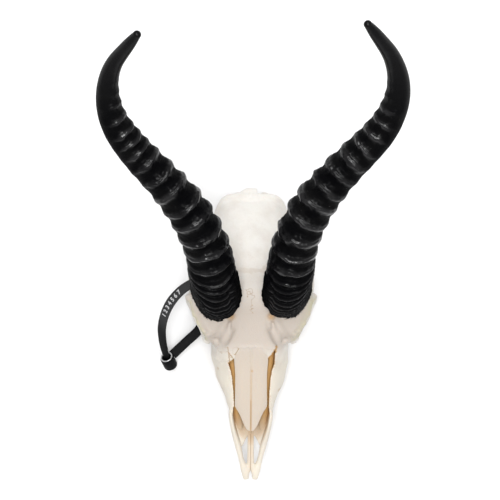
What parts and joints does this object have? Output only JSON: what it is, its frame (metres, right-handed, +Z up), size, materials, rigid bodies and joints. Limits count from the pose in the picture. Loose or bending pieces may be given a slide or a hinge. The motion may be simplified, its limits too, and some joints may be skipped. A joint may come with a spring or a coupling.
{
  "type": "antelope skull",
  "caption": "Upper skull of a horned antelope with black ringed horns and a plastic strap tag, lying on its teeth.",
  "frame": {"origin": "bottom centre of the bounding box, on the surface that the skull lies on", "axes": "+Y from the muzzle towards the horn tips, +Z up from the palate towards the horns, +X the animal's left"},
  "size_m": [0.1996, 0.3144, 0.2688],
  "materials": {
    "bone": "matt, dry bone, nearly white",
    "tooth": "satin enamel, cream",
    "horn": "satin horn, nearly black",
    "tag_plastic": "satin black plastic",
    "tag_eyelet": "satin pale metal"
  },
  "bodies": {
    "root": {"braincase": "bone", "frontal": "bone", "maxilla_left": "bone", "maxilla_right": "bone", "nasal_left": "bone", "nasal_right": "bone", "occiput": "bone", "premaxilla_left": "bone", "premaxilla_right": "bone", "zygomatic_left": "bone", "zygomatic_right": "bone", "cheek_teeth_left": "tooth", "cheek_teeth_right": "tooth", "horn_left": "horn", "horn_right": "horn", "tag": "tag_plastic", "tag_eyelet": "tag_eyelet"}
  },
  "joints": []
}
